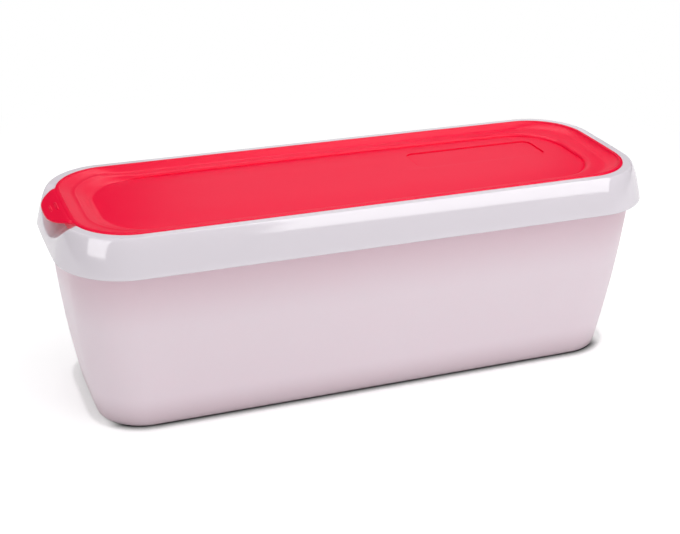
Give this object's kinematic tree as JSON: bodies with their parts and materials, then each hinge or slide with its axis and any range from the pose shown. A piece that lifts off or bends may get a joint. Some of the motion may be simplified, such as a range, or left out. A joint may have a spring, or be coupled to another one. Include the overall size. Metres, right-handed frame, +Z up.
{
  "type": "ice cream container",
  "caption": "Long shut ice cream tub: tapered frosted body, glossy rim band with a finger notch, and a flat-floored soft lid with a lifting tab.",
  "frame": {"origin": "centre of the base, on the surface the tub stands on", "axes": "+Z up, +X along the tub with the lid's tab at the -X end, +Y across it"},
  "size_m": [0.33, 0.118, 0.1101],
  "materials": {
    "frosted_body": "frosted, translucent white with a pink glow from the lid under the rim",
    "white_rim": "glossy",
    "red_lid": "satin, fine moulded grain"
  },
  "bodies": {
    "root": {"tub_body": "frosted_body", "rim_band": "white_rim", "lid": "red_lid"}
  },
  "joints": []
}
